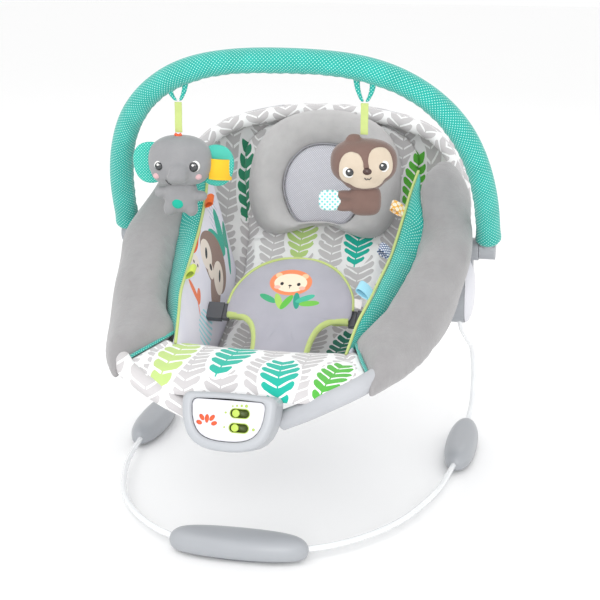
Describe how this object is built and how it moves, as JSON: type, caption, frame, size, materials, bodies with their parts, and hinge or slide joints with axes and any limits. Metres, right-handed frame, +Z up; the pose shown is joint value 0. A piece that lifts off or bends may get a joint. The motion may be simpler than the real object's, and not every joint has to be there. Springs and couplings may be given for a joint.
{
  "type": "baby bouncer seat",
  "caption": "Sprung baby bouncer seat with padded printed cradle, head pillow, bib restraint, toy bar with hanging plush toys and front vibration and sound unit.",
  "frame": {"origin": "on the floor, below the middle of the object's outline", "axes": "+Z up, the front foot and control unit face -Y, +X to the baby's left as the picture shows the right side"},
  "size_m": [0.4886, 0.5746, 0.5226],
  "materials": {
    "wire_white": "gloss",
    "frame_steel": "satin",
    "bright_steel": "satin",
    "grey_plastic": "satin",
    "pale_plastic": "satin",
    "dark_plastic": "matte",
    "lime_plastic": "gloss",
    "rubber_grey": "matte",
    "plush_grey": "plush",
    "print_cotton": "printed",
    "wing_cotton": "printed",
    "bib_cotton": "plain",
    "teal_knit": "dotted knit",
    "lime_webbing": "webbing",
    "elephant_plush": "plush",
    "sloth_plush": "plush",
    "circuit_green": "matte",
    "battery_jacket": "gloss"
  },
  "bodies": {
    "base": {"front_base_wire": "wire_white", "front_foot": "grey_plastic", "front_foot_pad": "rubber_grey", "side_foot_left": "grey_plastic", "side_foot_right": "grey_plastic", "side_foot_pad_left": "rubber_grey", "side_foot_pad_right": "rubber_grey"},
    "seat": {"rear_wire_left": "wire_white", "rear_wire_right": "wire_white", "hub_inner_left": "grey_plastic", "hub_inner_right": "grey_plastic", "hub_cover_left": "pale_plastic", "hub_cover_right": "pale_plastic", "hub_screw_left": "bright_steel", "hub_screw_right": "bright_steel", "toy_bar_socket_left": "grey_plastic", "toy_bar_socket_right": "grey_plastic", "bolster_left": "plush_grey", "bolster_right": "plush_grey", "wing_left": "wing_cotton", "wing_right": "wing_cotton", "buckle_socket_left": "dark_plastic", "buckle_socket_right": "dark_plastic", "seat_frame_front": "frame_steel", "seat_frame_back": "frame_steel", "seat_pad": "print_cotton", "head_pillow": "plush_grey", "crotch_panel": "bib_cotton", "control_housing": "grey_plastic", "control_bezel": "grey_plastic", "control_faceplate": "pale_plastic", "circuit_board": "circuit_green", "speaker": "dark_plastic", "battery_1": "battery_jacket", "battery_2": "battery_jacket", "battery_3": "battery_jacket", "battery_door": "grey_plastic", "battery_door_screw": "bright_steel", "vibration_motor": "bright_steel"},
    "toy_bar": {"toy_bar_rod": "wire_white", "toy_bar_sleeve": "teal_knit", "elephant_loop": "teal_knit", "sloth_loop": "teal_knit", "toy_bar_end_left": "grey_plastic", "toy_bar_end_right": "grey_plastic", "toy_bar_pin_left": "bright_steel", "toy_bar_pin_right": "bright_steel"},
    "elephant_ribbon": {"elephant_ribbon": "lime_webbing"},
    "elephant": {"elephant_toy": "elephant_plush"},
    "sloth_ribbon": {"sloth_ribbon": "lime_webbing"},
    "sloth": {"sloth_toy": "sloth_plush"},
    "vibration_switch": {"vibration_switch": "lime_plastic"},
    "sound_switch": {"sound_switch": "lime_plastic"},
    "motor_weight": {"motor_weight": "bright_steel"},
    "buckle_left": {"buckle_tongue_left": "dark_plastic", "waist_strap_left": "lime_webbing"},
    "buckle_right": {"buckle_tongue_right": "dark_plastic", "waist_strap_right": "lime_webbing"}
  },
  "joints": [
    {"name": "bounce", "type": "hinge", "parent": "base", "child": "seat", "pos_m": [0, 0.1788, 0.0155], "axis": [1, 0, 0], "range_deg": [-3, 5], "stiffness_Nm_per_rad": 140, "springref_deg": -2.61},
    {"name": "toy_bar_tilt", "type": "hinge", "parent": "seat", "child": "toy_bar", "pos_m": [0, 0.106, 0.272], "axis": [1, 0, 0], "range_deg": [-62, 15]},
    {"name": "elephant_ribbon_swing", "type": "hinge", "parent": "toy_bar", "child": "elephant_ribbon", "pos_m": [-0.1305, 0.0025, 0.4575], "axis": [1, 0, 0], "range_deg": [-20, 20]},
    {"name": "elephant_swing", "type": "hinge", "parent": "elephant_ribbon", "child": "elephant", "pos_m": [-0.1305, 0.0025, 0.4205], "axis": [0, 1, 0], "range_deg": [-15, 15]},
    {"name": "sloth_ribbon_swing", "type": "hinge", "parent": "toy_bar", "child": "sloth_ribbon", "pos_m": [0.093, -0.0036, 0.4635], "axis": [1, 0, 0], "range_deg": [-30, 30]},
    {"name": "sloth_swing", "type": "hinge", "parent": "sloth_ribbon", "child": "sloth", "pos_m": [0.093, -0.0036, 0.4265], "axis": [0, 1, 0], "range_deg": [-20, 20]},
    {"name": "vibration_switch_slide", "type": "slide", "parent": "seat", "child": "vibration_switch", "axis": [1, 0, 0], "range_m": [0, 0.008]},
    {"name": "sound_switch_slide", "type": "slide", "parent": "seat", "child": "sound_switch", "axis": [1, 0, 0], "range_m": [0, 0.008]},
    {"name": "motor_weight_spin", "type": "hinge", "parent": "seat", "child": "motor_weight", "pos_m": [0.039, -0.25119, 0.16007], "axis": [1, 0, 0], "continuous": true},
    {"name": "buckle_left_release", "type": "slide", "parent": "seat", "child": "buckle_left", "axis": [1, 0, 0], "range_m": [0, 0.012]},
    {"name": "buckle_right_release", "type": "slide", "parent": "seat", "child": "buckle_right", "axis": [-1, 0, 0], "range_m": [0, 0.012]}
  ]
}
